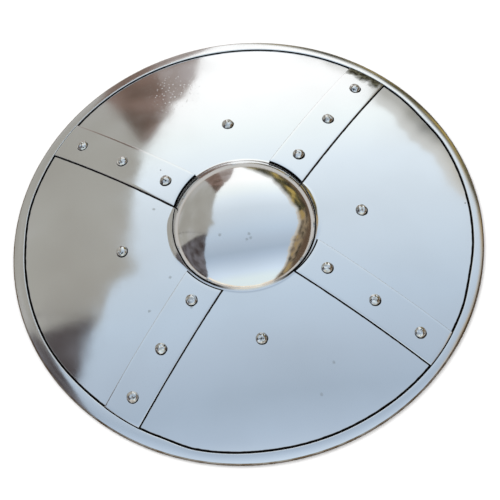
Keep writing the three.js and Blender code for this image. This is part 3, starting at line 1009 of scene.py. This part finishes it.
def colours_along(tree, value, low, high, stops):
    """A colour for each value from low to high, through stops of (value, colour)."""
    spread = add_node(tree, "ShaderNodeMapRange")
    spread.inputs["From Min"].default_value = low
    spread.inputs["From Max"].default_value = high
    tree.links.new(value, spread.inputs["Value"])
    ramp = add_node(tree, "ShaderNodeValToRGB")
    tree.links.new(spread.outputs[0], ramp.inputs[0])
    elements = ramp.color_ramp.elements
    while len(elements) < len(stops):
        elements.new(0.5)
    for element, (place, colour) in zip(elements, stops):
        element.position = (place - low) / (high - low)
        element.color = (*colour, 1)
    return ramp.outputs[0]


def chosen(tree, share, first, second):
    mix = add_node(tree, "ShaderNodeMix", data_type="RGBA")
    for socket, value in (("Factor", share), ("A", first), ("B", second)):
        if isinstance(value, bpy.types.NodeSocket):
            tree.links.new(value, mix.inputs[socket])
        else:
            mix.inputs[socket].default_value = value
    return mix.outputs["Result"]


def tent():
    """An even white world whose reflections alone show the tent's gradient and the ground."""
    world = bpy.data.worlds.new("tent")
    world.use_nodes = True
    world.cycles.sampling_method = "NONE"
    tree = world.node_tree
    parts = add_node(tree, "ShaderNodeSeparateXYZ")
    tree.links.new(add_node(tree, "ShaderNodeTexCoord").outputs["Generated"], parts.inputs[0])
    above = colours_along(tree, parts.outputs["Y"], -1, 1, TENT)
    below = colours_along(tree, parts.outputs["Z"], -1, 0, GROUND)
    horizon = add_node(tree, "ShaderNodeMapRange")
    horizon.inputs["From Min"].default_value = 0.0
    horizon.inputs["From Max"].default_value = -0.005
    tree.links.new(parts.outputs["Z"], horizon.inputs["Value"])
    reflected = chosen(tree, horizon.outputs[0], above, below)
    glossy = add_node(tree, "ShaderNodeLightPath").outputs["Is Glossy Ray"]
    colour = chosen(tree, glossy, WHITE, reflected)
    tree.links.new(colour, tree.nodes["Background"].inputs["Color"])
    bpy.context.scene.world = world


def card_paint(name, patches, fringe, foot, size):
    """Patches about as large as the size, that fade into other colours above and below."""
    material = bpy.data.materials.new(name)
    material.use_nodes = True
    material.cycles.emission_sampling = "NONE"
    tree = material.node_tree
    tree.nodes.clear()
    mottle = add_node(tree, "ShaderNodeTexNoise")
    mottle.inputs["Scale"].default_value = 1 / size
    mottle.inputs["Detail"].default_value = 4.0
    tree.links.new(add_node(tree, "ShaderNodeTexCoord").outputs["Object"], mottle.inputs["Vector"])
    last = len(patches) - 1
    stops = [(0.35 + 0.30 * number / last, colour) for number, colour in enumerate(patches)]
    colour = colours_along(tree, mottle.outputs["Fac"], 0.35, 0.65, stops)
    if fringe:
        depth = add_node(tree, "ShaderNodeAttribute", attribute_name="depth").outputs["Fac"]
        for low, high, other in ((FRINGE, 1, fringe), (2 * FRINGE, 4 * FRINGE, foot)):
            spread = add_node(tree, "ShaderNodeMapRange", interpolation_type="SMOOTHSTEP")
            spread.inputs["From Min"].default_value = low
            spread.inputs["From Max"].default_value = high
            tree.links.new(depth, spread.inputs["Value"])
            colour = chosen(tree, spread.outputs[0], colour, (*other, 1))
    glow = add_node(tree, "ShaderNodeEmission")
    tree.links.new(colour, glow.inputs["Color"])
    out = add_node(tree, "ShaderNodeOutputMaterial")
    tree.links.new(glow.outputs[0], out.inputs["Surface"])
    return material


def direction(azimuth, from_top):
    turn = math.radians(azimuth)
    lean = math.radians(from_top)
    level = Vector((math.cos(turn), math.sin(turn), 0)) * math.sin(lean)
    return level + Vector((0, 0, math.cos(lean)))


def columns(skyline):
    """The skyline's points, with others between them about a degree apart."""
    line = []
    for start, end in zip(skyline, skyline[1:]):
        count = max(1, round(end[0] - start[0]))
        line += zip(steps(start[0], end[0], count)[:-1], steps(start[1], end[1], count)[:-1])
    return [*line, skyline[-1]]


def card(name, distance, skyline, colours, size, foot=90.3, ragged=0.0):
    """A card that only reflections show, from its foot up to a skyline.

    The skyline is a list of (azimuth, angle from straight up) in degrees, and so is the foot's
    angle. A ragged skyline rises and falls by about that many degrees.
    """
    points = []
    depths = []
    for turn, top in columns(skyline):
        stray = ragged * (wander((turn, 0, 0), 7.0, 60) + wander((turn, 0, 0), 2.3, 61))
        line = top + stray
        for angle in steps(line, foot, CARD_ROWS):
            points.append(distance * direction(turn, angle))
            depths.append(angle - line)
    row = CARD_ROWS + 1
    faces = []
    for start in range(0, len(points) - row, row):
        faces += [(i, i + 1, i + 1 + row, i + row) for i in range(start, start + CARD_ROWS)]
    mesh = bpy.data.meshes.new(name)
    mesh.from_pydata([tuple(point) for point in points], [], faces)
    mesh.attributes.new("depth", "FLOAT", "POINT").data.foreach_set("value", depths)
    patches, fringe, ground = colours if len(colours) == 3 else (colours[0], None, None)
    mesh.materials.append(card_paint(name, patches, fringe, ground, size))
    obj = bpy.data.objects.new(name, mesh)
    bpy.context.scene.collection.objects.link(obj)
    obj.visible_camera = False
    obj.visible_diffuse = False
    obj.visible_shadow = False


def cards():
    card("card_hedge", TENT_RADIUS, HEDGE_LINE, HEDGE, 1.5, ragged=2.0)
    card("card_bushes", TENT_RADIUS - 0.3, BUSH_LINE, BUSHES, 1.2, ragged=2.0)
    card("card_wall", TENT_RADIUS, WALL_LINE, WALL, 3.0)
    card("card_wall_foot", TENT_RADIUS - 0.8, WALL_FOOT_LINE, WALL, 3.0)
    card("card_stack", TENT_RADIUS - 0.5, STACK_LINE, STACK, 1.4)
    card("card_gable", TENT_RADIUS, GABLE_LINE, GABLE, 0.8, ragged=1.0)
    card("card_gable_end", TENT_RADIUS - 0.3, GABLE_END_LINE, GABLE_END, 0.8)
    card("card_glow", TENT_RADIUS, GLOW_LINE, GLOW, 2.0, 89)


def floor():
    """A pale floor that is clear from below, so that the shield's back can be seen through it."""
    finish = Finish("floor", 0.0, 0.9)
    mesh = bpy.data.meshes.new("floor")
    corners = [(x * FLOOR_REACH, y * FLOOR_REACH) for x, y in ((-1, -1), (1, -1), (1, 1), (-1, 1))]
    mesh.from_pydata([(x, y, -FLOOR_DROP) for x, y in corners], [], [(0, 1, 2, 3)])
    finish.shader.inputs["Base Color"].default_value = FLOOR_PALE
    finish.shader.inputs["Specular IOR Level"].default_value = 0.0
    clear = finish.node("ShaderNodeBsdfTransparent")
    both = finish.node("ShaderNodeMixShader")
    behind = finish.node("ShaderNodeNewGeometry").outputs["Backfacing"]
    finish.feed(both.inputs["Fac"], behind)
    finish.feed(both.inputs[1], finish.shader.outputs[0])
    finish.feed(both.inputs[2], clear.outputs[0])
    out = next(node for node in finish.tree.nodes if node.type == "OUTPUT_MATERIAL")
    finish.feed(out.inputs["Surface"], both.outputs[0])
    mesh.materials.append(finish.material)
    obj = bpy.data.objects.new("floor", mesh)
    bpy.context.scene.collection.objects.link(obj)
    obj.visible_glossy = False


def soft_light(name, place, size, power):
    data = bpy.data.lights.new(name, "AREA")
    data.size = size
    data.energy = power
    obj = bpy.data.objects.new(name, data)
    obj.location = place
    obj.rotation_euler = (-Vector(place)).to_track_quat("-Z", "Y").to_euler()
    obj.visible_glossy = False
    bpy.context.scene.collection.objects.link(obj)


# ------------------------------------------------------------------ assembly


def hand_in(obj, node):
    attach(obj, "root")
    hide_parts(node)


BACK_OF_BARS = steel_back("bar_back")
# Black sawn edges: dirt and painted shade.
CUT_EDGE_DIRT_AND_SHADE = cut_edge_dirt_and_shade()
RIVET_FINISH = rivet_steel()
STRAP_FINISH = strap_leather()

camera()
tent()
cards()
floor()
soft_light("key", KEY_PLACE, KEY_SIZE, KEY_POWER)
bpy.context.scene.view_settings.view_transform = "Standard"

dish()
rim()
for number, bar_name in enumerate(BARS):
    bar(bar_name, 10 + number)
for number, rivet_name in enumerate(BAR_RIVETS):
    rivet(rivet_name, DISH_RADIUS + GAP + BAR_THICKNESS, BAR_THICKNESS + GAP + SHEET, 20 + number)
for number, rivet_name in enumerate(STRAP_RIVETS):
    rivet(rivet_name, DISH_RADIUS, SHEET + STRAP_SEAT_GAP + STRAP_THICKNESS, 40 + number)
strap("strap_ne", "n", "e")
strap("strap_sw", "w", "s")
